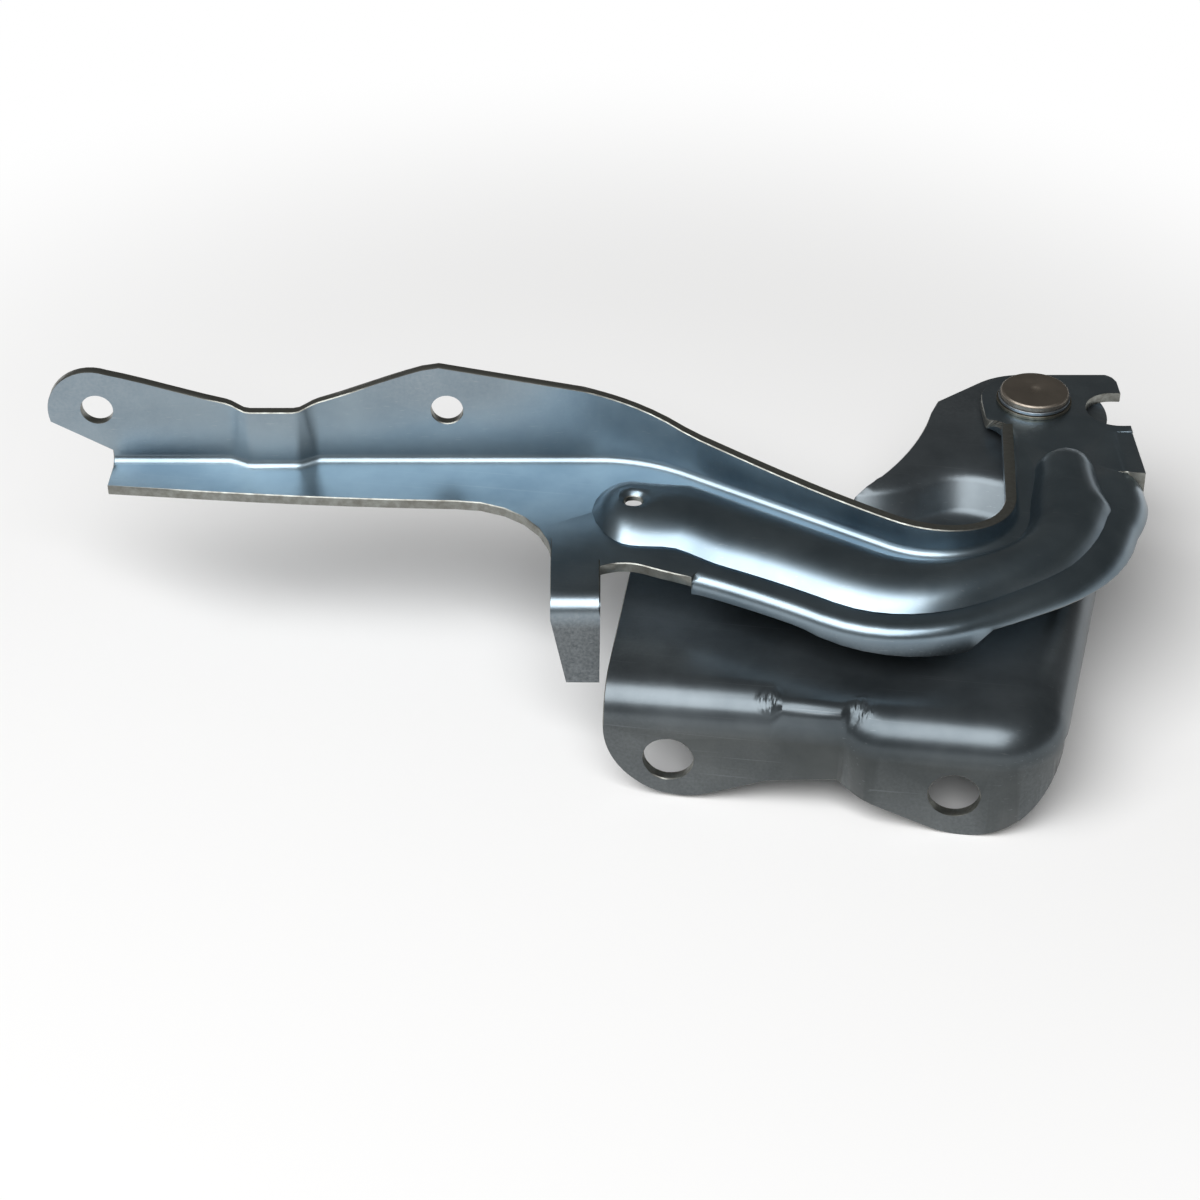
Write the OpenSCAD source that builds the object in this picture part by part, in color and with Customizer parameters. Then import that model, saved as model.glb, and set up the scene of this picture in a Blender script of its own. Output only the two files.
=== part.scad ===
// Bonnet hinge: a gooseneck arm of pressed sheet that swings on a flanged rivet over a pressed base bracket.
// The hinge lies on its side. +Z is the pivot axis, the bracket bolts to the body on the face y = 0, and the
// origin is the centre of the rear base bolt hole on that face. Lengths are millimetres, angles degrees.

/* [Sheet] */
// Thickness of the arm's steel sheet
arm_t = 3; // [2.5:0.1:3.5]
// Thickness of the base bracket's steel sheet
base_t = 3; // [2.5:0.1:3.5]

/* [Pivot] */
// Height of the pivot above the bolting face
pivot_y = 140; // [130:1:150]
// Distance of the pivot behind the rear base hole
pivot_x = 17; // [12:1:22]
// Height of the arm's front face above the base holes
arm_z = 37; // [34:1:42]
// Diameter of the rivet shank
rivet_d = 10; // [8:0.5:11]
// Diameter of the rivet head
rivet_head_d = 20; // [17:0.5:21]
// Thickness of the rivet head
rivet_head_h = 1.9; // [1.6:0.1:3]
// Diameter of the peened rivet tail
rivet_tail_d = 16; // [14:0.5:18]
// Wall of the two plain bushes
bush_wall = 1.5; // [1:0.1:2]
// Diameter of the bush flanges
bush_flange_d = 22; // [19:0.5:23]
// Thickness of the bush flanges
bush_flange_t = 1; // [0.8:0.1:1.6]
// Diameter of the two steel washers
washer_d = 21; // [20.5:0.5:23]
// Thickness of the two steel washers
washer_t = 1; // [0.8:0.1:1.6]
// Radial running clearance of the bushes on the rivet
run_clearance = 0.05; // [0.02:0.01:0.1]
// Axial clearance at each bush flange
face_clearance = 0.1; // [0.05:0.05:0.3]

/* [Bonnet flange] */
// Angle between the closed bonnet and the bolting face
bonnet_slope = 8; // [4:0.5:12]
// Drop from the pivot to the bonnet face
flange_drop = 33; // [30:1:36]
// Distance from the pivot to the front bonnet hole
bonnet_hole_x = 270; // [262:1:280]
// Spacing of the two bonnet holes
bonnet_hole_pitch = 98.5; // [94:0.5:102]
// Height of the bonnet holes above the web
bonnet_hole_z = 17.2; // [16:0.1:19]
// Diameter of the bonnet holes
bonnet_hole_d = 9; // [7:0.5:10]
// Radius of the round lobe at the front hole
lobe_r = 13; // [12:0.5:14]
// Flange height at the waist between the holes
waist_h = 18; // [15:0.5:20]
// Flange height at the second hole
crest_h = 31; // [29:0.5:33]
// Depth of the pressed offset at the waist
joggle_depth = 3; // [1:0.5:4]
// Width of the web strip at its front end
strip_w_front = 12.5; // [11:0.5:15]
// Width of the web strip where it meets the stop leg
strip_w_rear = 21; // [19:0.5:23]

/* [Gooseneck] */
// Downward angle of the neck
neck_angle = 33.5; // [30:0.5:36]
// Radius of the bend line at the root of the neck
root_r = 45; // [35:1:50]
// Radius of the bend line in the elbow
elbow_r = 23.5; // [21:0.5:26]
// Distance of the elbow's centre in front of the pivot
elbow_back = 37; // [35:0.5:40]
// Distance of the elbow's centre below the pivot
elbow_drop = 56.5; // [54:0.5:60]
// Steepness of the bend line above the elbow
head_angle = 84; // [80:1:88]
// Width of the web at the root of the neck
web_w_root = 52; // [50:0.5:54]
// Width of the web where the neck meets the elbow
web_w_neck = 38.5; // [36:0.5:41]
// Narrowest width of the web in the elbow
web_w_elbow = 27.5; // [26.5:0.5:30]
// Distance from the pivot to the rear edge of the head
head_x = 26.5; // [25:0.5:29]
// Radius of the round end of the head
head_r = 15.5; // [14:0.5:17]
// Inside radius of the pressed bends
bend_r = 2.5; // [2:0.5:3.5]
// Flange height at the root of the neck
flange_h_root = 13.5; // [12:0.5:16]
// Flange height where the neck meets the elbow
flange_h_neck = 9; // [8:0.5:11]
// Flange height at the head
flange_h_head = 5.5; // [4.5:0.5:7]

/* [Stiffening bead] */
// Height of the bead
bead_h = 6; // [3:0.5:8]
// Greatest width of the bead
bead_w = 30; // [26:0.5:32]
// Reach of the bead's front end from the bend line
bead_reach_front = 40.5; // [38:0.5:42]
// Reach of the bead from the bend line along the neck
bead_reach_neck = 32.5; // [31:0.5:34]
// Reach of the bead's rear end from the bend line
bead_reach_head = 22.5; // [21:0.5:24]
// Flat rim between the bead and the outer edge
bead_rim = 8.3; // [7.5:0.1:10]
// Flat strip between the bend line and the bead
bead_gap = 5; // [4:0.5:6]
// Diameter of the tooling hole in the bead's front end
tooling_hole_d = 5; // [4:0.5:6]
// Diameter of the dimple round the tooling hole
dimple_d = 10; // [8:0.5:12]

/* [Outer lip and stop] */
// Width of the stop leg
leg_w = 13; // [11:0.5:15]
// Distance from the bonnet face to the stop tab's face
leg_drop = 68; // [64:1:72]
// Radius between the strip and the stop leg
leg_fillet = 27; // [22:1:30]
// Depth of the stop tab below the web
tab_depth = 27; // [22:1:30]
// Taper of the stop tab's front edge
tab_taper = 4; // [2:0.5:5]
// Distance from the bonnet face to the top of the relief notch
relief_drop = 53; // [51:0.5:55]
// Radius of the relief notch behind the leg
relief_r = 10; // [8:0.5:11]
// Inside radius of the lip's bend along the neck
lip_bend_r = 0.8; // [0.6:0.1:1.5]
// Inside radius of the lip's bend beside the head
rim_bend_r = 4.5; // [3:0.5:5]
// Depth of the lip along the neck
lip_depth = 5.5; // [5.2:0.1:6.5]
// Depth of the lip under the elbow
lip_deep = 9; // [7:0.5:11]
// Radius of the notch in the head
head_notch_r = 9; // [8:0.5:9.5]

/* [Base bracket] */
// Spacing of the two base bolt holes
base_hole_pitch = 75.5; // [70:0.5:82]
// Diameter of the base bolt holes
base_hole_d = 13.5; // [11:0.5:15]
// Height of the bracket's web above the base holes
base_web_z = 21; // [19:1:24]
// Step of the front pad above the rear pad
pad_step = 4.5; // [3.5:0.5:5.5]
// Outside radius of the bracket's bend
base_bend_r = 11; // [9:0.5:12]
// Outside radius of the tight bend between the pads
dart_bend_r = 4.5; // [4:0.5:6]
// Distance from the front hole to the bracket's front edge
base_front = 17.5; // [16:0.5:20]
// Distance from the rear hole to the bracket's rear corner
base_rear = 29; // [27:0.5:32]
// Plan radius of the rear corner
corner_r = 20; // [18:1:24]
// Lean of the bracket's rear side
rear_lean = 7.5; // [5:0.5:10]
// Depth of the lobes below the base holes
pad_lobe = 13; // [12:0.5:15]
// Radius of the raised seat round the pivot
seat_r = 37; // [33:1:40]
// Radius of the bracket's round top
top_r = 22; // [20:0.5:24]
// Radius of the hollow front edge
hollow_r = 97; // [90:1:104]

/* [Hidden] */
$fn = 64;
steel_dark = [0.22, 0.25, 0.28];
steel_blue = [0.36, 0.42, 0.47];
bronze = [0.55, 0.43, 0.26];
zinc = [0.55, 0.56, 0.55];
eps = 0.1;
// Length along the sheet over which a cut edge steps from one depth to the next
cut_step = 0.2;

// Pivot stack, measured up from the arm's front face
bush_d = rivet_d + 2 * (run_clearance + bush_wall);
front_washer_z = bush_flange_t + face_clearance;
head_z = front_washer_z + washer_t;
seat_z = -arm_t - bush_flange_t - face_clearance;
back_washer_z = seat_z - base_t - washer_t;
tail_h = 3.5;

// Interpolation helpers
function mix(a, b, k) = a + (b - a) * k;
function clamp01(k) = min(1, max(0, k));
function ease(k) = let (c = clamp01(k)) c * c * (3 - 2 * c);
function glide(x, x0, y0, x1, y1) = mix(y0, y1, ease((x - x0) / (x1 - x0)));
function ramp(x, x0, y0, x1, y1) =
    let (k = clamp01((x - x0) / (x1 - x0))) mix(y0, y1, mix(k, ease(k), 0.25));
function spread(a, b, n) = [for (i = [0:n]) mix(a, b, i / n)];
function unit(a) = [cos(a), sin(a)];

// Bend line of the arm in its own frame: the pivot is the origin and the bonnet face is y = -flange_drop.
// Position s runs along the bend line and is 0 where the straight flange ends and the neck begins.
elbow_c = [-elbow_back, -elbow_drop];
neck_end = elbow_c - elbow_r * [sin(neck_angle), cos(neck_angle)];
neck_run = (-flange_drop - neck_end.y) / sin(neck_angle);
root_tan = root_r * tan(neck_angle / 2);
root_x = neck_end.x - neck_run * cos(neck_angle) - root_tan;
root_c = [root_x, -flange_drop - root_r];
elbow_turn = neck_angle + head_angle;
s_neck = root_r * neck_angle * PI / 180;
s_elbow = s_neck + neck_run - root_tan;
s_head = s_elbow + elbow_r * elbow_turn * PI / 180;
elbow_end = elbow_c + elbow_r * [sin(head_angle), -cos(head_angle)];
function s_of_x(x) = x - root_x;
function s_of_y(y) = s_head + y - elbow_end.y;

// Front end of the web strip, under the lobe, whose centre lies in front of and below the front hole
strip_front = -bonnet_hole_x + 3;
lobe_lead = 0.9;
lobe_low = 0.8;
strip_bow = 1.8;
hole_2_x = -bonnet_hole_x + bonnet_hole_pitch;
waist_x = mix(-bonnet_hole_x, hole_2_x, 0.5);
waist_half = 7.5;
crest_x = hole_2_x - 3;
joggle_half = 6;
joggle_ramp = 7;
function joggle(x) = joggle_depth * (1 - ease((abs(x - waist_x) - joggle_half) / joggle_ramp));

// Head: the flange is cut off, and the rest of its bend lies down flat and becomes the round end
flange_cut_y = -21.5;
fade_y = flange_cut_y + 0.5;
flat_y = -9;
bend_steps = 4;
function chord(r) = 2 * (r + arm_t / 2) * sin(45 / bend_steps);
flat_stub = 0.8;
flat_reach = bend_steps * chord(bend_r) - bend_r + flat_stub;
function head_line_x(y) = elbow_end.x + (y - elbow_end.y) / tan(head_angle);
function head_in_x(y) =
    y < fade_y ? head_line_x(y)
    : y < 0 ? mix(head_line_x(fade_y), flat_reach - head_r, ease((y - fade_y) / (flat_y - fade_y)))
    : flat_reach - sqrt(head_r * head_r - y * y);

function bend_line(s) =
    s < 0 ? [root_x + s, -flange_drop - joggle(root_x + s)]
    : s < s_neck ? root_c + root_r * unit(90 - s / root_r * 180 / PI)
    : s < s_elbow ? neck_end - (s_elbow - s) * unit(-neck_angle)
    : s < s_head ? elbow_c + elbow_r * unit(-90 - neck_angle + (s - s_elbow) / elbow_r * 180 / PI)
    : let (y = elbow_end.y + s - s_head) [head_in_x(y), y];

// Direction across the web from the bend line to the outer edge
fan_end = s_neck + 30;
function across(s) =
    s < 0 ? 270
    : s < s_elbow ? 270 - neck_angle * clamp01(s / fan_end)
    : s < s_head ? 270 - neck_angle + (s - s_elbow) / elbow_r * 180 / PI
    : mix(270 + head_angle, 360, clamp01((s - s_head) / (s_of_y(fade_y) - s_head)));

// Width of the web, first without the stop leg and the relief notch
s_narrow = mix(s_elbow, s_head, 0.55);
wide_y = -44;
s_wide = s_of_y(wide_y);
head_corner_r = 5;
function edge_x(y) =
    let (d = max(0, y - (head_r - head_corner_r)))
    head_x - head_corner_r + sqrt(max(0, head_corner_r * head_corner_r - d * d));
function head_w(s) = (edge_x(bend_line(s).y) - bend_line(s).x) / cos(across(s));
function body_w(s) =
    s < s_elbow ? mix(web_w_root, web_w_neck, sin(90 * s / s_elbow))
    : s < s_narrow ? glide(s, s_elbow, web_w_neck, s_narrow, web_w_elbow)
    : s < s_wide ? glide(s, s_narrow, web_w_elbow, s_wide, head_w(s_wide))
    : head_w(s);
leg_front = root_x - leg_w;
function strip_edge_y(x) =
    let (k = (x - strip_front) / (leg_front - strip_front))
    -flange_drop - mix(strip_w_front, strip_w_rear, k) - strip_bow * sin(180 * k);
fillet_c = [leg_front - leg_fillet, strip_edge_y(leg_front - leg_fillet) - leg_fillet];
function fillet_edge_y(x) = fillet_c.y + sqrt(max(0, pow(leg_fillet, 2) - pow(x - fillet_c.x, 2)));
function strip_w(x) = bend_line(s_of_x(x)).y - (x < fillet_c.x ? strip_edge_y(x) : fillet_edge_y(x));
relief_c = [root_x + relief_r, -flange_drop - relief_drop - relief_r];
function relief_w(s) =
    let (d = relief_c - bend_line(s), r = unit(across(s)), off = cross(d, r))
    d * r - sqrt(max(0, relief_r * relief_r - off * off));
relief_end = s_neck + 22;
function web_w(s) =
    s < s_of_x(leg_front) ? strip_w(root_x + s)
    : s <= 0 ? leg_drop - joggle(root_x + s)
    : s < relief_end ? min(body_w(s), relief_w(s))
    : body_w(s);

// Height of the bonnet flange and of the inner flange along the neck
s_knee = -4;
knee_h = mix(crest_h, flange_h_root, 0.45);
function flange_h(s) =
    let (x = root_x + s)
    x < waist_x ? ramp(x, -bonnet_hole_x, bonnet_hole_z + lobe_r - lobe_low, waist_x - waist_half, waist_h)
    : x < crest_x ? ramp(x, waist_x + waist_half, waist_h, crest_x, crest_h)
    : s < s_knee ? mix(crest_h, knee_h, (s - s_of_x(crest_x)) / (s_knee - s_of_x(crest_x)))
    : s < s_neck ? mix(knee_h, flange_h_root, (s - s_knee) / (s_neck - s_knee))
    : s < s_elbow ? mix(flange_h_root, flange_h_neck, sin(90 * (s - s_neck) / (s_elbow - s_neck)))
    : glide(s, s_elbow, flange_h_neck, s_head, flange_h_head);
function flange_angle(s) = 90 * (1 - ease((s - s_of_y(fade_y)) / (flat_y - fade_y)));

// Outer lip: bend angle and straight length beyond the bend, along the leg, the neck and the elbow.
// It gets deeper under the elbow, where it stops the opening arm, and rounder beside the head. Above its end
// the rim is only creased.
lip_start = s_neck + 25;
lip_step = s_elbow - 8;
lip_grow = 24;
lip_slant = mix(s_elbow, s_head, 0.33);
lip_fade = 3;
lip_end_y = -37;
lip_end = s_of_y(lip_end_y);
shallow_angle = 70;
shallow_run = 1;
rim_end_y = -17;
rim_end = s_of_y(rim_end_y);
rim_angle = 4;
rim_run = 4.4;
function lip_angle(s) =
    s < s_of_x(leg_front) ? 0
    : s <= 0 ? 90
    : s < lip_start ? 0
    : s < lip_end ? mix(90, shallow_angle, clamp01((s - lip_slant) / lip_fade))
    : s < rim_end ? rim_angle
    : 0;
function lip_bend(s) =
    s <= 0 ? bend_r
    : s < lip_end ? mix(lip_bend_r, rim_bend_r, ease((s - lip_slant) / (s_head - lip_slant)))
    : lip_bend_r;
function lip_run(s) =
    let (taper_k = clamp01((s + leg_w) / tab_taper), bend_depth = lip_bend(s) + arm_t,
         deep = glide(s, lip_step, lip_depth, lip_step + lip_grow, lip_deep))
    s < s_of_x(leg_front) ? flat_stub
    : s <= 0 ? mix(flat_stub, tab_depth - bend_depth, taper_k)
    : s < lip_start ? flat_stub
    : s < lip_end ? mix(deep - bend_depth, shallow_run, clamp01((s - lip_slant) / lip_fade))
    : s < rim_end ? rim_run
    : flat_stub;

// Stiffening bead: a long dome with round ends, where the chord of the section shrinks like a circle's
bead_front = 13;
bead_rear_y = -37;
bead_rear = s_of_y(bead_rear_y);
bead_end_r = 15;
bead_rear_r = 8;
bead_gap_head = 7.3;
bead_settle = s_neck + 14;
function bead_lo(s) = max(glide(s, s_head, bead_gap, bead_rear, bead_gap_head), bead_hi(s) - bead_w);
function bead_hi(s) =
    min(body_w(max(0, s)) - bead_rim, web_w(s) - lip_bend(s) - arm_t,
        s < s_narrow ? glide(s, bead_front, bead_reach_front, bead_settle, bead_reach_neck)
        : glide(s, s_narrow, bead_reach_neck, bead_rear, bead_reach_head));
function bead_past(s) = clamp01(max(0, (bead_front - s) / bead_end_r, (s - bead_rear) / bead_rear_r));
function bead_chord(s) = sqrt(max(0.001, 1 - pow(bead_past(s), 2)));
function bead_lift(s, k) =
    let (rho = norm([k * bead_chord(s), bead_past(s)]))
    rho >= 1 ? 0 : bead_h * (1 - pow(rho, 2.7));
bead_steps = 10;

// Section of the sheet at s: middle line points [u, v, front normal u, front normal v] from the flange's
// free edge to the lip's. u runs across the web from the bend line, v is the height above the front face.
function turned(u, v, side, angle, r, i) =
    i == 0 ? [u, v]
    : let (a = angle * (i - 0.5) / bend_steps)
      turned(u, v, side, angle, r, i - 1) + side * chord(r) * [cos(a), -sin(a)];
function bend_point(u, side, angle, r, i) =
    let (a = angle * i / bend_steps, p = turned(u, -arm_t / 2, side, angle, r, i))
    [p.x, p.y, sin(a), cos(a)];
function bend_tip(u, side, angle, r, run) =
    let (p = bend_point(u, side, angle, r, bend_steps))
    [p[0] + side * run * cos(angle), p[1] - side * run * sin(angle), p[2], p[3]];
function bead_row(s, u0, u1) =
    let (mid_u = (u0 + u1) / 2, half = bead_chord(s) * (u1 - u0) / 2,
         pts = [for (i = [0:bead_steps]) let (k = -cos(180 * i / bead_steps))
                [mid_u + half * k, -arm_t / 2 + bead_lift(s, k)]])
    [for (i = [0:bead_steps])
        let (d = pts[min(bead_steps, i + 1)] - pts[max(0, i - 1)], edge = i == 0 || i == bead_steps,
             n = edge ? [0, 1] : [-d.y, d.x] / norm(d))
        [pts[i].x, pts[i].y, n.x, n.y]];
function section(s) =
    let (w = web_w(s), la = lip_angle(s), run = lip_run(s), lr = lip_bend(s),
         bend_u = w - bend_tip(0, 1, la, lr, run)[0] - arm_t / 2 * sin(la),
         lo = min(bead_lo(s), bend_u - 2), hi = min(bead_hi(s), bend_u - 1),
         fa = flange_angle(s),
         rise = s > s_of_y(flange_cut_y) ? flat_stub : mix(flat_stub, flange_h(s) - bend_r, fa / 90))
    concat([bend_tip(bend_r, -1, fa, bend_r, rise)],
           [for (i = [bend_steps:-1:0]) bend_point(bend_r, -1, fa, bend_r, i)],
           bead_row(s, lo, max(lo + 0.5, hi)),
           [for (i = [0:bend_steps]) bend_point(bend_u, 1, la, lr, i)],
           [bend_tip(bend_u, 1, la, lr, run)]);
function skin(sec, p, r, side) =
    [for (q = sec) let (u = q[0] + side * q[2] * arm_t / 2) [p.x + r.x * u, p.y + r.y * u,
                                                             q[1] + side * q[3] * arm_t / 2]];
function ring(s) =
    let (sec = section(s), p = bend_line(s), r = unit(across(s)), back = skin(sec, p, r, -1))
    concat(skin(sec, p, r, 1), [for (i = [len(back) - 1:-1:0]) back[i]]);

// Stations along the bend line, closer where the edge turns and doubled where it steps
function doubled(s) = [s - cut_step / 2, s + cut_step / 2];
stations = concat(
    [for (x = spread(strip_front, waist_x - joggle_half - joggle_ramp, 6)) s_of_x(x)],
    [for (k = [0.25, 0.5, 0.75, 1]) s_of_x(waist_x - joggle_half - joggle_ramp * (1 - k))],
    [for (k = [0, 0.25, 0.5, 0.75, 1]) s_of_x(waist_x + joggle_half + joggle_ramp * k)],
    [for (x = spread(waist_x + joggle_half + joggle_ramp + 6, fillet_c.x, 7)) s_of_x(x)],
    [for (a = [15:15:75]) s_of_x(fillet_c.x + leg_fillet * sin(a))],
    [s_of_x(leg_front) - cut_step, s_of_x(leg_front), s_of_x(leg_front) + tab_taper, -leg_w / 3,
     bead_front - bead_end_r, bead_front - 0.94 * bead_end_r, 0],
    [for (k = [0:11]) mix(cut_step, relief_end, pow(k / 11, 1.5))],
    doubled(lip_start),
    spread(lip_start + 4, lip_step, 6),
    spread(lip_step + 4, s_elbow, 1),
    spread(s_elbow + 2.5, lip_slant, 6),
    spread(lip_slant + lip_fade, s_head, 11),
    [for (y = spread(elbow_end.y + 3, lip_end_y - 1.5, 8)) s_of_y(y)],
    doubled(lip_end),
    [for (k = [0.35, 0.6, 0.8, 0.92, 0.98, 1]) bead_rear + k * bead_rear_r],
    [for (y = spread(bead_rear_y + bead_rear_r + 1.5, flange_cut_y - 1, 3)) s_of_y(y)],
    doubled(s_of_y(flange_cut_y)),
    [for (y = spread(flange_cut_y + 1, rim_end_y - 1, 2)) s_of_y(y)],
    doubled(rim_end),
    [for (y = spread(rim_end_y + 1.5, flat_y, 5)) s_of_y(y)],
    [for (a = [0, 15, 30, 45, 60, 70, 77]) s_of_y(head_r * sin(a))]
);

// Solid through a row of closed rings that all have the same number of points
module through_rings(rings) {
    n = len(rings[0]);
    last = len(rings) - 1;
    sides = [for (i = [0:last - 1], j = [0:n - 1])
        let (a = i * n + j, b = i * n + (j + 1) % n, c = a + n, d = b + n)
        each [[a, c, b], [b, c, d]]];
    // Each end is closed strip by strip across the thickness of the sheet
    half = n / 2;
    caps = [for (j = [0:half - 2])
        let (a = j, b = j + 1, c = n - 1 - j, d = n - 2 - j, e = last * n)
        each [[a, b, c], [b, d, c], [e + b, e + a, e + c], [e + b, e + c, e + d]]];
    polyhedron([for (r = rings) each r], concat(sides, caps), convexity = 6);
}

// Round lobe of the bonnet flange in front of the web strip, with a straight lower flank
module bonnet_lobe() {
    reach = 8;
    flank_dir = 240;
    flank_off = 10.2;
    top_z = bonnet_hole_z + lobe_r - lobe_low;
    hole = [-bonnet_hole_x, bonnet_hole_z];
    c = hole - [lobe_lead, lobe_low];
    foot_z = bend_r + 1;
    translate([0, -flange_drop, 0])
    rotate([90, 0, 0])
    translate([0, 0, -arm_t])
    linear_extrude(arm_t)
    difference() {
        union() {
            translate(c)
            circle(lobe_r);
            polygon([c, [c.x, foot_z - lobe_r], [strip_front, foot_z - lobe_r], [strip_front, foot_z],
                     [strip_front + reach, foot_z],
                     [strip_front + reach, flange_h(s_of_x(strip_front + reach)) - 1], [c.x, top_z - 1]]);
        }
        translate(hole)
        rotate(flank_dir)
        translate([flank_off, -2 * lobe_r])
        square([2 * lobe_r, 4 * lobe_r]);
    }
}

module bonnet_holes() {
    for (x = [-bonnet_hole_x, hole_2_x])
        translate([x, -flange_drop + arm_t + eps, bonnet_hole_z])
        rotate([90, 0, 0])
        cylinder(d = bonnet_hole_d, h = arm_t + joggle_depth + 2 * eps);
}

// Pierced dimple in the front end of the bead
module tooling_hole() {
    u = (bead_lo(bead_front) + bead_hi(bead_front)) / 2;
    p = bend_line(bead_front) + u * unit(across(bead_front));
    dimple_depth = 1.4;
    translate([p.x, p.y, -arm_t - eps])
    cylinder(d = tooling_hole_d, h = arm_t + bead_h + 1);
    translate([p.x, p.y, bead_h - dimple_depth])
    cylinder(d1 = tooling_hole_d, d2 = dimple_d, h = dimple_depth + eps);
}

// Notch that is open to the rear edge of the head
module head_notch() {
    c = [head_x - 0.3 * head_notch_r, -0.3 * head_r];
    translate([c.x, c.y, -arm_t - eps]) {
        cylinder(r = head_notch_r, h = arm_t + 2 * eps);
        translate([0, -head_notch_r, 0])
        cube([2 * head_notch_r, 2 * head_notch_r, arm_t + 2 * eps]);
    }
}

module in_arm_frame() {
    translate([pivot_x, pivot_y, arm_z])
    rotate([0, 0, bonnet_slope])
    children();
}

module bonnet_arm() {
    color(steel_blue)
    in_arm_frame()
    difference() {
        union() {
            through_rings([for (s = stations) ring(s)]);
            bonnet_lobe();
        }
        bonnet_holes();
        tooling_hole();
        head_notch();
        translate([0, 0, -arm_t - eps])
        cylinder(d = bush_d, h = arm_t + 2 * eps);
    }
}

// Base bracket: the web and the raised pivot seat are two plates with a pressed wall between them
seat_top = arm_z + seat_z;
seat_rise = seat_top - base_web_z;
seat_slope = 1.6;
// The seat's edge follows one round at the pivot and one by the hollow, with a nook between them
flank_c = [-52, -13];
flank_r = 33.5;
nook_r = 20;
sheet_reach = 2 * pivot_y;
bend_stub = 1.5;
web_edge = base_bend_r + bend_stub / 2;
front_x = -base_hole_pitch - base_front;
dart_front = mix(-base_hole_pitch, 0, 0.35);
dart_rear = mix(-base_hole_pitch, 0, 0.59);
// The step between the pads turns out round pad_out_c and back round pad_in_c
pad_out_r = 2.5;
pad_in_r = base_bend_r + bend_stub + 1;
pad_turn = acos(1 - pad_step / (pad_in_r + pad_out_r));
pad_out_c = [dart_rear, pad_step - pad_out_r];
pad_in_c = [dart_rear + (pad_in_r + pad_out_r) * sin(pad_turn), pad_in_r];
corner_c = [base_rear - corner_r, corner_r];
side_turn = 90 - rear_lean;
side_len = 0.46 * pivot_y;
// The hollow edge runs down from the shoulder and turns forward on a smaller radius
hollow_c = [pivot_x - hollow_r - 28.8, pivot_y + 9.4];
hollow_start = -8;
hollow_turn = -31;
hollow_exit = -70;
hollow_foot_r = 35;

function arc(c, r, from, to, n) = [for (a = spread(from, to, n)) c + r * unit(a)];

// Point at the distances ra from a and rb from b, on the left of the way from a to b
function meet(a, ra, b, rb) =
    let (n = norm(b - a), e = (b - a) / n, k = (ra * ra - rb * rb + n * n) / (2 * n))
    a + k * e + sqrt(ra * ra - k * k) * [-e.y, e.x];

// Stations [point from the pivot, outward direction] along the seat's edge, and the wall's section there
nook_c = meet([0, 0], seat_r + nook_r, flank_c, flank_r + nook_r);
pivot_turn = atan2(nook_c.y, nook_c.x);
flank_turn = atan2(nook_c.y - flank_c.y, nook_c.x - flank_c.x);
seat_edge = concat(
    [for (k = [0:0.0625:1]) let (u = unit(mix(-160, flank_turn, k))) [flank_c + flank_r * u, u]],
    [for (k = [0.125:0.125:1]) let (u = unit(mix(flank_turn, pivot_turn, k))) [nook_c - nook_r * u, u]],
    [for (k = [0.0625:0.0625:1]) let (u = unit(mix(pivot_turn, -20, k))) [seat_r * u, u]]
);
seat_soft = 3;
seat_foot = seat_rise / seat_slope;
function wall_skin(st, inset) =
    let (low = base_web_z - inset, top = seat_top - inset,
         near = 0.2 * seat_soft, past = 0.8 * seat_soft,
         sec = [[-seat_soft - bend_stub, top], [-seat_soft, top], [0, top - near], [past, top - past],
                [seat_foot - past, low + past], [seat_foot, low + near], [seat_foot + seat_soft, low],
                [seat_foot + seat_soft + bend_stub, low]])
    [for (q = sec) [pivot_x + st[0].x + st[1].x * q.x, pivot_y + st[0].y + st[1].y * q.x, q.y]];
function wall_ring(st) =
    let (back = wall_skin(st, base_t))
    concat(wall_skin(st, 0), [for (i = [len(back) - 1:-1:0]) back[i]]);
function beside_edge(out) = [for (st = seat_edge) [pivot_x, pivot_y] + st[0] + out * st[1]];

module seat_sheet() {
    far = sheet_reach;
    through_rings([for (st = seat_edge) wall_ring(st)]);
    translate([0, 0, seat_top - base_t])
    linear_extrude(base_t)
    polygon(concat(beside_edge(-seat_soft - bend_stub / 2), [[far, far], [-far, far]]));
    translate([0, 0, base_web_z - base_t])
    linear_extrude(base_t)
    polygon(concat(beside_edge(seat_foot + seat_soft + bend_stub / 2), [[far, -far], [-far, -far]]));
}

module web_outline() {
    pivot = [pivot_x, pivot_y];
    shoulder = pivot + [-28, 2.5];
    shoulder_turn = 135;
    foot_c = hollow_c + (hollow_r - hollow_foot_r) * unit(hollow_turn);
    exit = foot_c + hollow_foot_r * unit(hollow_exit);
    side_in = corner_c + (corner_r - web_edge) * unit(side_turn - 90);
    front_top = exit.y + (front_x - exit.x) / tan(-hollow_exit);
    polygon(concat(
        [[front_x, pad_step + web_edge]],
        arc(pad_out_c, pad_out_r + web_edge, 90, 90 - pad_turn, 4),
        arc(pad_in_c, pad_in_r - web_edge, -90 - pad_turn, -90, 4),
        arc(corner_c, corner_r - web_edge, -90, side_turn - 90, 8),
        [side_in + side_len * side_dir, pivot + [top_r, 0], pivot, pivot + top_r * unit(shoulder_turn),
         shoulder],
        arc(hollow_c, hollow_r, hollow_start, hollow_turn, 10),
        arc(foot_c, hollow_foot_r, hollow_turn - 6, hollow_exit, 6),
        [[front_x, front_top]]));
    translate(pivot)
    circle(top_r);
}

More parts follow.
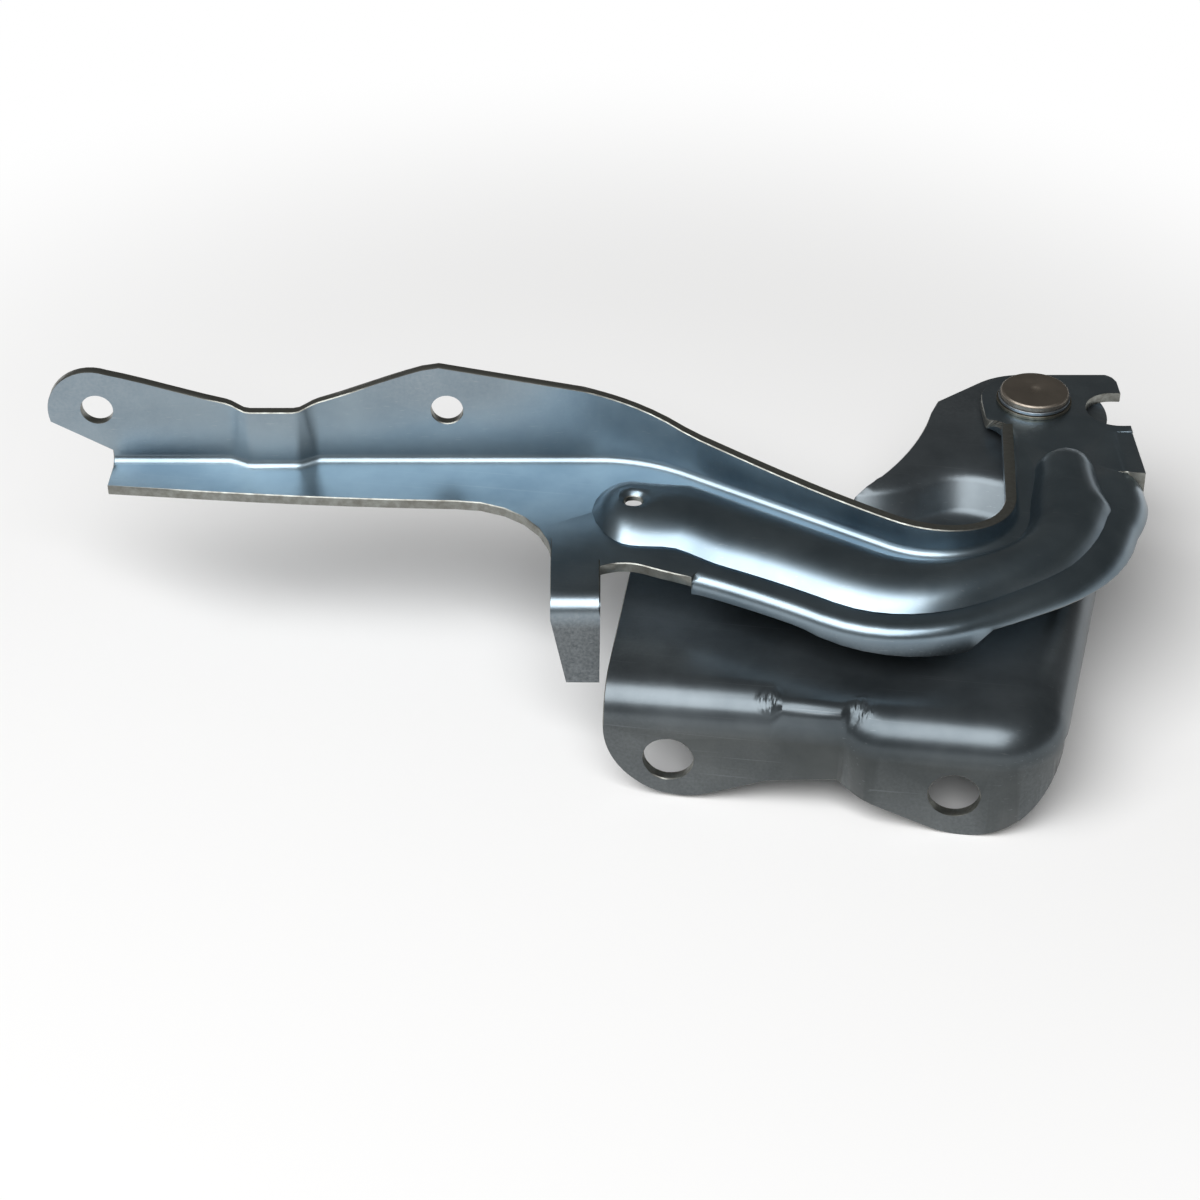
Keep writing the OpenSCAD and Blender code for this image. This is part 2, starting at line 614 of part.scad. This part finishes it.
// Bent edge of the bracket: stations [point, inward direction, outside bend radius] along the outer face
// of its flange, from the front pad over the tight bend and the step to the rear pad and round the corner
edge_bend_steps = 8;
dart_fade = 3;
side_dir = unit(side_turn);
side_foot = corner_c + corner_r * unit(side_turn - 90);
edge_stations = concat(
    [for (x = spread(front_x, dart_front, 2)) [[x, pad_step], [0, 1], base_bend_r]],
    [for (x = [dart_front + dart_fade, dart_rear]) [[x, pad_step], [0, 1], dart_bend_r]],
    [for (k = [0.25:0.25:1]) let (d = unit(90 - k * pad_turn))
        [pad_out_c + pad_out_r * d, d, mix(dart_bend_r, base_bend_r, ease(k))]],
    [for (k = [0.125:0.125:1]) let (d = unit(90 - (1 - k) * pad_turn))
        [pad_in_c - pad_in_r * d, d, base_bend_r]],
    [for (a = spread(90, 90 + side_turn, 14)) [corner_c - corner_r * unit(a), unit(a), base_bend_r]],
    [for (k = [0.5, 1]) [side_foot + k * side_len * side_dir, [-side_dir.y, side_dir.x], base_bend_r]]
);
function edge_skin(st, inset) =
    let (r = st[2], low = -pad_lobe - 1,
         sec = concat([[base_bend_r + bend_stub, base_web_z - inset]],
                      [for (a = spread(90, 180, edge_bend_steps))
                          [r, base_web_z - r] + (r - inset) * unit(a)],
                      [[inset, low]]))
    [for (q = sec) [st[0].x + st[1].x * q.x, st[0].y + st[1].y * q.x, q.y]];
function edge_ring(st) =
    let (back = edge_skin(st, base_t))
    concat(edge_skin(st, 0), [for (i = [len(back) - 1:-1:0]) back[i]]);

// Point where the line from p touches the circle round c on the side given by the sign of turn
function touch(c, r, p, turn) =
    let (d = p - c) c + r * unit(atan2(d.y, d.x) + turn * acos(r / norm(d)));

// Free edge of the pads: two lobes, with the edge between them cut back to the height of the bolt holes
module pad_outline() {
    front_r = 21;
    rear_r = 24.5;
    front_c = [-base_hole_pitch + 3.5, front_r - pad_lobe + 1];
    rear_c = [3, rear_r - pad_lobe];
    between = [[dart_front, -4.5], [dart_rear, -2]];
    top_z = base_web_z + eps;
    rear_x = base_rear + side_len;
    difference() {
        union() {
            translate(front_c)
            circle(front_r);
            translate(rear_c)
            circle(rear_r);
            polygon([front_c, touch(front_c, front_r, between[0], -1), between[0], between[1],
                     touch(rear_c, rear_r, between[1], 1), rear_c, [rear_x, rear_c.y], [rear_x, top_z],
                     [front_x, top_z], [front_x, front_c.y]]);
        }
        translate([front_x - pad_lobe, -2 * pad_lobe])
        square([pad_lobe, 4 * base_web_z]);
        translate([front_x, top_z])
        square([rear_x - front_x, 2 * rear_r]);
    }
}

module base_bracket() {
    bolt_len = pad_step + base_t + 2 * eps;
    color(steel_dark)
    difference() {
        union() {
            intersection() {
                seat_sheet();
                translate([0, 0, base_web_z - 2 * base_t])
                linear_extrude(seat_rise + 3 * base_t)
                web_outline();
            }
            intersection() {
                through_rings([for (st = edge_stations) edge_ring(st)]);
                translate([0, sheet_reach / 2, 0])
                rotate([90, 0, 0])
                linear_extrude(sheet_reach)
                pad_outline();
            }
        }
        for (x = [-base_hole_pitch, 0])
            translate([x, bolt_len - eps, 0])
            rotate([90, 0, 0])
            cylinder(d = base_hole_d, h = bolt_len);
        translate([pivot_x, pivot_y, seat_top - base_t - eps])
        cylinder(d = rivet_d, h = base_t + 2 * eps);
    }
}

// Flanged plain bush: the sleeve fills half of the arm's bore and the flange lies on the arm's face
module bush() {
    bore = rivet_d / 2 + run_clearance;
    rotate_extrude()
    polygon([[bore, -arm_t / 2], [bush_d / 2, -arm_t / 2], [bush_d / 2, 0], [bush_flange_d / 2, 0],
             [bush_flange_d / 2, bush_flange_t], [bore, bush_flange_t]]);
}

module front_bush() {
    color(bronze)
    in_arm_frame()
    bush();
}

module rear_bush() {
    color(bronze)
    in_arm_frame()
    translate([0, 0, -arm_t])
    mirror([0, 0, 1])
    bush();
}

module washer() {
    rotate_extrude()
    translate([rivet_d / 2, 0])
    square([(washer_d - rivet_d) / 2, washer_t]);
}

module head_washer() {
    color(zinc)
    in_arm_frame()
    translate([0, 0, front_washer_z])
    washer();
}

module backing_washer() {
    color(zinc)
    in_arm_frame()
    translate([0, 0, back_washer_z])
    washer();
}

module pivot_rivet() {
    chamfer = 0.5;
    dimple_r = 2.2;
    dimple_depth = 0.8;
    head_top = head_z + rivet_head_h;
    tail_end = back_washer_z - tail_h;
    color(steel_dark)
    in_arm_frame()
    rotate_extrude()
    polygon([[0, tail_end], [rivet_tail_d / 2 - 3, tail_end], [rivet_tail_d / 2 - 0.8, tail_end + 1],
             [rivet_tail_d / 2, back_washer_z - 1], [rivet_tail_d / 2 - 0.4, back_washer_z],
             [rivet_d / 2, back_washer_z], [rivet_d / 2, head_z], [rivet_head_d / 2, head_z],
             [rivet_head_d / 2, head_top - chamfer], [rivet_head_d / 2 - chamfer, head_top],
             [dimple_r, head_top], [0, head_top - dimple_depth]]);
}

base_bracket();
bonnet_arm();
front_bush();
rear_bush();
pivot_rivet();
head_washer();
backing_washer();
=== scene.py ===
import math

import bmesh
import bpy
from mathutils import Matrix, Vector
from mathutils.bvhtree import BVHTree


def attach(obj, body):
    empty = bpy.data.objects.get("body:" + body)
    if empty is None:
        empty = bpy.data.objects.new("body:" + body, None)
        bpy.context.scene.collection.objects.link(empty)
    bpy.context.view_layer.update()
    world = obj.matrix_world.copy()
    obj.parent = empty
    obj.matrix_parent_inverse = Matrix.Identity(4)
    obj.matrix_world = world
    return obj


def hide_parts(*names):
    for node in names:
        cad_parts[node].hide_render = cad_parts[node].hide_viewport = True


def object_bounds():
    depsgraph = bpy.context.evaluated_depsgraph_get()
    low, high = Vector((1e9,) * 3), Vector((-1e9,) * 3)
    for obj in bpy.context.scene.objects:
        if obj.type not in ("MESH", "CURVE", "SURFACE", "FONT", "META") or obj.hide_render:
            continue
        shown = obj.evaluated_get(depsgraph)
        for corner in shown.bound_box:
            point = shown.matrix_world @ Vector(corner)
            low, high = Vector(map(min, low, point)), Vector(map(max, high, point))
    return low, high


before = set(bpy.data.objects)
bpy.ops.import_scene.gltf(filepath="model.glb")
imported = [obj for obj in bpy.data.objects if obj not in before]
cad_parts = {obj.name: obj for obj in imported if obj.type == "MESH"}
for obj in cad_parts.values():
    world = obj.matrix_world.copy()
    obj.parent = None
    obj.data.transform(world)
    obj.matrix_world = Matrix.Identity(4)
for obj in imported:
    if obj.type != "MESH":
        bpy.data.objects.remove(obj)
solid_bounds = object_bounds()
MM = 0.001

# Thickness of the sheets, widest chamfer on a cut rim, and the gaps within which points of a mesh are one
SHEET = 3 * MM
BURR = 0.25 * MM
SHEET_WELD = 0.05 * MM
TURNED_WELD = 0.001 * MM
# Joins flatter than FLAT go, those from CREASE on part two patches, those from a SHARP angle on shade as edges
FLAT = math.radians(0.6)
CREASE = math.radians(30)
SHEET_SHARP = math.radians(40)
TURNED_SHARP = math.radians(35)
# A face with this much steel behind it is a cut one, and a small patch is cut if this share of it is
CUT_DEPTH = 1.6 * SHEET
UNDER_FACE = 0.02 * MM
CUT_SHARE = 0.3
SMALL_PATCH = 400 * MM ** 2
# A rim moves by this share of the room beside it at most, and no face beside it may turn further than this
ROOM_SHARE = 0.4
LEAST_FACING = 0.98
# Where the tool pinched both ends of the base's tight bend between the pads
PINCHES = [(-0.0495, 0.0095, 0.0190), (-0.0250, 0.0085, 0.0195)]
# Painted shade on a sheet fades in over this height, going down from where it starts
SHADE_FADE = 6 * MM
# Floor: half its side, and the distances from the middle between which it turns into the white backdrop
FLOOR_REACH = 40.0
FADE_START, FADE_END = 0.18, 0.40
# Camera fitted to the photograph: angles, place, and half the picture over the focal length in its pixels
TURN, TILT = math.radians(8), math.radians(36)
CAMERA_AT = Vector((-0.0230, -0.4983, 0.4193))
HALF_FIELD = 600 / 2470


# --- Colours and shader nodes ---------------------------------------------------------------------------
def srgb(code):
    """Linear RGBA of a colour written as six hex digits."""
    channels = [int(code[i:i + 2], 16) / 255 for i in (0, 2, 4)]
    return [c / 12.92 if c <= 0.04045 else ((c + 0.055) / 1.055) ** 2.4 for c in channels] + [1.0]


def node(tree, kind, inputs=None, **settings):
    """Add a node, set its properties, and fill or link its inputs."""
    made = tree.nodes.new("ShaderNode" + kind)
    for name, value in settings.items():
        setattr(made, name, value)
    for key, value in (inputs or {}).items():
        if isinstance(value, bpy.types.NodeSocket):
            tree.links.new(value, made.inputs[key])
        else:
            made.inputs[key].default_value = value
    return made


def stops(made, marks):
    """Give a colour ramp its marks, as (position, colour)."""
    ramp = made.color_ramp.elements
    while len(ramp) < len(marks):
        ramp.new(1.0)
    for element, (place, colour) in zip(ramp, marks):
        element.position = place
        element.color = colour
    return made.outputs["Color"]


def shader(name):
    """New material with its node tree and main shader."""
    made = bpy.data.materials.new(name)
    made.use_nodes = True
    tree = made.node_tree
    return made, tree, tree.nodes["Principled BSDF"]


def per_mm(wave):
    """Noise scale for features of a given size in millimetres."""
    return 1.0 / (wave * MM)


def coated_sheet(name, light, dark, rough, edge, shade_tint, shade_height, metal, pinches):
    """Cold-rolled sheet under a thin dark conversion coating: the metal's sheen, clouded and finely rubbed.

    Painted shade: below a given height the colour is multiplied by a darker, less blue tint, so the lower
    faces read blacker.
    """
    made, tree, bsdf = shader(name)
    at = node(tree, "TexCoord").outputs["Object"]
    cloud = node(tree, "TexNoise", {"Vector": at, "Scale": per_mm(28), "Detail": 4.0, "Roughness": 0.55})
    grain = node(tree, "TexNoise", {"Vector": at, "Scale": per_mm(0.9), "Detail": 3.0, "Roughness": 0.6})
    peel = node(tree, "TexNoise", {"Vector": at, "Scale": per_mm(2.6), "Detail": 2.0})
    drawn = node(tree, "Mapping", {"Vector": at, "Rotation": (0.0, 0.0, math.radians(-8)),
                                   "Scale": (per_mm(46), per_mm(0.55), per_mm(0.55))})
    scuff = node(tree, "TexNoise", {"Vector": drawn.outputs["Vector"], "Scale": 1.0, "Detail": 2.0})
    blot = stops(node(tree, "ValToRGB", {"Fac": cloud.outputs["Fac"]}), [(0.32, dark), (0.68, light)])
    height = node(tree, "SeparateXYZ", {"Vector": at}).outputs["Z"]
    # Painted shade: below the given height the colour is multiplied by a darker tint
    shade_ramp = node(tree, "MapRange", {"Value": height, "From Min": shade_height, "From Max": shade_height - SHADE_FADE})
    blot_in_shade = node(tree, "Mix", {"Factor": shade_ramp.outputs["Result"], "A": blot, "B": shade_tint}, data_type="RGBA",
                  blend_type="MULTIPLY")
    line = node(tree, "MapRange", {"Value": scuff.outputs["Fac"], "From Min": 0.66, "From Max": 0.74,
                                   "To Min": 0.0, "To Max": 0.22})
    rubbed = node(tree, "Mix", {"Factor": line.outputs["Result"], "A": blot_in_shade.outputs["Result"], "B": edge},
                  data_type="RGBA")
    wear = node(tree, "NewGeometry").outputs["Pointiness"]
    worn = node(tree, "MapRange", {"Value": wear, "From Min": 0.53, "From Max": 0.60, "To Max": 0.5})
    patchy = node(tree, "Math", {0: worn.outputs["Result"], 1: grain.outputs["Fac"]}, operation="MULTIPLY")
    skin = node(tree, "Mix", {"Factor": patchy.outputs["Value"], "A": rubbed.outputs["Result"], "B": edge},
                data_type="RGBA")
    sheen = node(tree, "MapRange", {"Value": cloud.outputs["Fac"], "From Min": 0.3, "From Max": 0.7,
                                    "To Min": rough, "To Max": rough + 0.06})
    fine = node(tree, "MapRange", {"Value": grain.outputs["Fac"], "To Min": 0.0, "To Max": 0.03})
    satin = node(tree, "Math", {0: sheen.outputs["Result"], 1: fine.outputs["Result"]}, operation="ADD")
    wavy = node(tree, "Bump", {"Height": peel.outputs["Fac"], "Strength": 0.12, "Distance": 0.06 * MM})
    bump = node(tree, "Bump", {"Height": grain.outputs["Fac"], "Strength": 0.18, "Distance": 0.03 * MM,
                               "Normal": wavy.outputs["Normal"]})
    for spot in pinches:
        bump = pinched(tree, at, bump, spot)
    for key, value in (("Base Color", skin.outputs["Result"]), ("Roughness", satin.outputs["Value"]),
                       ("Normal", bump.outputs["Normal"])):
        tree.links.new(value, bsdf.inputs[key])
    bsdf.inputs["Metallic"].default_value = metal
    return made


def pinched(tree, at, under, spot):
    """Crumpled creases around one spot, on top of the bump beneath."""
    away = node(tree, "VectorMath", {0: at, 1: spot}, operation="DISTANCE").outputs["Value"]
    near = node(tree, "MapRange", {"Value": away, "From Min": 1.5 * MM, "From Max": 4.5 * MM, "To Min": 1.0,
                                   "To Max": 0.0}, interpolation_type="SMOOTHSTEP").outputs["Result"]
    fold = node(tree, "Mapping", {"Vector": at, "Scale": (per_mm(0.9), per_mm(3.0), per_mm(3.0))})
    creases = node(tree, "TexNoise", {"Vector": fold.outputs["Vector"], "Scale": 1.0, "Detail": 1.0})
    height = node(tree, "Math", {0: near, 1: creases.outputs["Fac"]}, operation="MULTIPLY").outputs["Value"]
    return node(tree, "Bump", {"Height": height, "Strength": 0.9, "Distance": 0.5 * MM,
                               "Normal": under.outputs["Normal"]})


def bare_metal(name, light, dark, rough, wave):
    """Bare worked metal: small stains in the colour and a fine tool grain that breaks up the shine."""
    made, tree, bsdf = shader(name)
    at = node(tree, "TexCoord").outputs["Object"]
    stain = node(tree, "TexNoise", {"Vector": at, "Scale": per_mm(wave), "Detail": 5.0, "Roughness": 0.6})
    grain = node(tree, "TexNoise", {"Vector": at, "Scale": per_mm(0.35), "Detail": 2.0})
    tone = stops(node(tree, "ValToRGB", {"Fac": stain.outputs["Fac"]}), [(0.3, dark), (0.7, light)])
    sheen = node(tree, "MapRange", {"Value": stain.outputs["Fac"], "From Min": 0.3, "From Max": 0.7,
                                    "To Min": rough + 0.08, "To Max": rough - 0.06})
    bump = node(tree, "Bump", {"Height": grain.outputs["Fac"], "Strength": 0.25, "Distance": 0.03 * MM})
    for key, value in (("Base Color", tone), ("Roughness", sheen.outputs["Result"]),
                       ("Normal", bump.outputs["Normal"])):
        tree.links.new(value, bsdf.inputs[key])
    bsdf.inputs["Metallic"].default_value = 1.0
    return made


# The arm's thin coating lets the steel shine through blue; its last colour is painted shade that darkens the
# arm below 34 mm
ARM_SHEET = coated_sheet("phosphated_sheet_arm", srgb("98a8b2"), srgb("7d8e9a"), 0.28, srgb("bcc2c6"),
                         srgb("76736f"), 34 * MM, 1.0, [])
# The base's coating is thicker, so it is blacker and partly dull, with the pinched spots catching the light;
# its last colour is painted shade that darkens the front pads below 15 mm
BASE_SHEET = coated_sheet("phosphated_sheet_base", srgb("6a7277"), srgb("4e565b"), 0.28, srgb("8f9599"),
                          srgb("d2ccc4"), 15 * MM, 0.82, PINCHES)
# Sheared edges: the torn half of a blanked cut is dull and slightly brown
SHEARED = bare_metal("sheared_steel_edge", srgb("9a9d98"), srgb("7c7b75"), 0.42, 2.5)
# Cold-headed rivet: oiled dark steel with a warm grey tone
HEADED = bare_metal("cold_headed_steel", srgb("a39a8f"), srgb("8a8278"), 0.46, 3.0)
# Zinc washers: the palest, bluish metal
ZINC = bare_metal("zinc_plated_steel", srgb("aeb6bd"), srgb("8b9299"), 0.35, 2.0)
# Bushes: steel-backed bronze, so their rims are a warm grey and only faintly yellow
BRONZE = bare_metal("tin_bronze", srgb("918c7f"), srgb("6f6a5f"), 0.38, 2.2)


# --- Pieces ---------------------------------------------------------------------------------------------
def merged(name, gap):
    """Copy of a CAD node's mesh with its doubled points and flat joins gone."""
    bm = bmesh.new()
    bm.from_mesh(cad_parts[name].data)
    bmesh.ops.remove_doubles(bm, verts=bm.verts, dist=gap)
    bmesh.ops.dissolve_degenerate(bm, edges=bm.edges, dist=gap)
    bmesh.ops.dissolve_limit(bm, angle_limit=FLAT, verts=bm.verts, edges=bm.edges)
    bmesh.ops.triangulate(bm, faces=[f for f in bm.faces if len(f.verts) > 4])
    return bm


def dress(name, materials, bm, angle, body):
    """Object from a mesh in work: smooth, with edges sharp from the angle on, in the place of a CAD node."""
    for face in bm.faces:
        face.smooth = True
    for edge in bm.edges:
        edge.smooth = edge.calc_face_angle(0.0) < angle
    mesh = bpy.data.meshes.new(name + "_skin")
    bm.to_mesh(mesh)
    bm.free()
    for material in materials:
        mesh.materials.append(material)
    piece = bpy.data.objects.new(name + "_skin", mesh)
    bpy.context.scene.collection.objects.link(piece)
    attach(piece, body)
    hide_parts(name)
    return piece


def turned(name, material, bevel, body):
    """Turned or headed part: every edge rounded."""
    piece = dress(name, [material], merged(name, TURNED_WELD), TURNED_SHARP, body)
    soft = piece.modifiers.new("broken_edges", "BEVEL")
    soft.width, soft.segments = bevel, 2
    soft.limit_method, soft.angle_limit = "ANGLE", TURNED_SHARP
    soft.harden_normals = True


def patch_of(left):
    """Take one face and all that join it without a crease out of the faces that are left."""
    todo, patch = [left.pop()], []
    while todo:
        patch.append(todo.pop())
        for edge in patch[-1].edges:
            if edge.calc_face_angle(0.0) < CREASE:
                fresh = left.intersection(edge.link_faces)
                left -= fresh
                todo += fresh
    return patch


def settle(patch):
    """A small patch is cut or skin as a whole."""
    area = sum(f.calc_area() for f in patch)
    if area < SMALL_PATCH:
        cut = sum(f.calc_area() for f in patch if f.material_index == 1)
        for face in patch:
            face.material_index = int(cut > CUT_SHARE * area)


def mark_cut_faces(bm):
    """Faces with much more than a thickness of steel behind them are blanked edges and hole walls."""
    tree = BVHTree.FromBMesh(bm)
    for face in bm.faces:
        start = face.calc_center_median() - face.normal * UNDER_FACE
        hit = tree.ray_cast(start, -face.normal)
        if hit[0] is not None and hit[3] > CUT_DEPTH:
            face.material_index = 1
    left = set(bm.faces)
    while left:
        settle(patch_of(left))


def break_rims(bm):
    """Chamfer between the cut faces and the sheet, less wide where the sheet's own faces are narrow."""
    cut = [f for f in bm.faces if f.material_index == 1]
    ring = bmesh.ops.inset_region(bm, faces=cut, thickness=BURR, use_even_offset=False)["faces"]
    in_ring = set(ring)
    bm.normal_update()
    rims = [e for f in ring for e in f.edges if any(g.material_index == 0 for g in e.link_faces)]
    soft = {v for e in rims if e.calc_face_angle(0.0) < CREASE for v in e.verts}
    back = {v: Vector() for e in rims for v in e.verts if v not in soft}
    for face in ring:
        face.material_index = 1
        for vert in face.verts:
            if vert in back:
                back[vert] -= face.normal * face.calc_area()
    for vert, way in back.items():
        beside = [e.calc_length() for e in vert.link_edges
                  if e.other_vert(vert) not in back and not in_ring.intersection(e.link_faces)]
        back[vert] = way.normalized() * min(BURR, ROOM_SHARE * min(beside, default=BURR))
    before = {f: f.normal.copy() for v in back for f in v.link_faces if f not in in_ring}
    for vert, way in back.items():
        vert.co += way
    bm.normal_update()
    for face in [f for f, normal in before.items() if f.normal.dot(normal) < LEAST_FACING]:
        for vert in face.verts:
            vert.co -= back.pop(vert, Vector())
    bm.normal_update()


def pressed(name, material, body):
    """Blanked and pressed sheet: cut faces of bare steel, with their rims broken by the tumbling drum."""
    bm = merged(name, SHEET_WELD)
    mark_cut_faces(bm)
    break_rims(bm)
    dress(name, [material, SHEARED], bm, SHEET_SHARP, body)


pressed("bonnet_arm", ARM_SHEET, "arm")
pressed("base_bracket", BASE_SHEET, "base")
turned("pivot_rivet", HEADED, 0.25 * MM, "base")
turned("head_washer", ZINC, 0.2 * MM, "base")
turned("backing_washer", ZINC, 0.2 * MM, "base")
turned("front_bush", BRONZE, 0.15 * MM, "arm")
turned("rear_bush", BRONZE, 0.15 * MM, "arm")


# --- Floor, light and camera ----------------------------------------------------------------------------
def pale_floor(middle):
    """Pale matt floor that keeps the shadow near the object, and fades to a white backdrop away from it."""
    made, tree, bsdf = shader("pale_floor")
    bsdf.inputs["Base Color"].default_value = srgb("f6f6f6")
    bsdf.inputs["Roughness"].default_value = 0.9
    bsdf.inputs["Specular IOR Level"].default_value = 0.1
    white = node(tree, "Emission", {"Color": (1.0, 1.0, 1.0, 1.0), "Strength": 1.0})
    at = node(tree, "TexCoord").outputs["Object"]
    away = node(tree, "VectorMath", {0: at, 1: middle}, operation="DISTANCE").outputs["Value"]
    far = node(tree, "MapRange", {"Value": away, "From Min": FADE_START, "From Max": FADE_END},
               interpolation_type="SMOOTHSTEP").outputs["Result"]
    path = node(tree, "LightPath").outputs
    seen = node(tree, "Math", {0: path["Is Camera Ray"], 1: path["Is Glossy Ray"]})
    seen = node(tree, "Math", {0: seen.outputs["Value"], 1: path["Is Transmission Ray"]}, use_clamp=True)
    share = node(tree, "Math", {0: far, 1: seen.outputs["Value"]}, operation="MULTIPLY")
    mixed = node(tree, "MixShader", {0: share.outputs["Value"], 1: bsdf.outputs["BSDF"],
                                     2: white.outputs["Emission"]})
    tree.links.new(mixed.outputs["Shader"], tree.nodes["Material Output"].inputs["Surface"])
    return made


def softbox(name, centre, aim, size, power):
    """Rectangular lamp that looks from its centre at the aim."""
    lamp = bpy.data.lights.new(name, "AREA")
    lamp.shape = "RECTANGLE"
    lamp.size, lamp.size_y = size
    lamp.energy = power
    made = bpy.data.objects.new(name, lamp)
    look = (Vector(aim) - Vector(centre)).to_track_quat("-Z", "Y")
    made.matrix_world = Matrix.Translation(centre) @ look.to_matrix().to_4x4()
    bpy.context.scene.collection.objects.link(made)


low = solid_bounds[0][2]
middle = [(solid_bounds[0][i] + solid_bounds[1][i]) / 2 for i in (0, 1)] + [low]
corners = [(x * FLOOR_REACH, y * FLOOR_REACH, low) for x, y in ((-1, -1), (1, -1), (1, 1), (-1, 1))]
floor_mesh = bpy.data.meshes.new("floor")
floor_mesh.from_pydata(corners, [], [(0, 1, 2, 3)])
floor_mesh.materials.append(pale_floor(middle))
floor = bpy.data.objects.new("floor", floor_mesh)
bpy.context.scene.collection.objects.link(floor)

# One large softbox in front, to the left and above, where the photograph's highlights point
softbox("key", (-0.60, -1.20, 1.95), (-0.06, 0.06, 0.02), (3.2, 1.9), 86.0)

world = bpy.data.worlds.new("studio")
bpy.context.scene.world = world
world.use_nodes = True
dim_room = world.node_tree.nodes["Background"]
dim_room.inputs["Color"].default_value = srgb("51504e")
dim_room.inputs["Strength"].default_value = 1.0

right = Vector((math.cos(TURN), math.sin(TURN), 0.0))
ahead = Vector((-math.sin(TURN) * math.cos(TILT), math.cos(TURN) * math.cos(TILT), -math.sin(TILT)))
up = right.cross(ahead)
camera_data = bpy.data.cameras.new("camera")
camera_data.angle = 2 * math.atan(HALF_FIELD)
camera_data.clip_start = 0.01
camera = bpy.data.objects.new("camera", camera_data)
camera.matrix_world = Matrix([[right[i], up[i], -ahead[i], CAMERA_AT[i]] for i in range(3)] + [[0, 0, 0, 1]])
bpy.context.scene.collection.objects.link(camera)
bpy.context.scene.camera = camera
bpy.context.scene.view_settings.view_transform = "Standard"
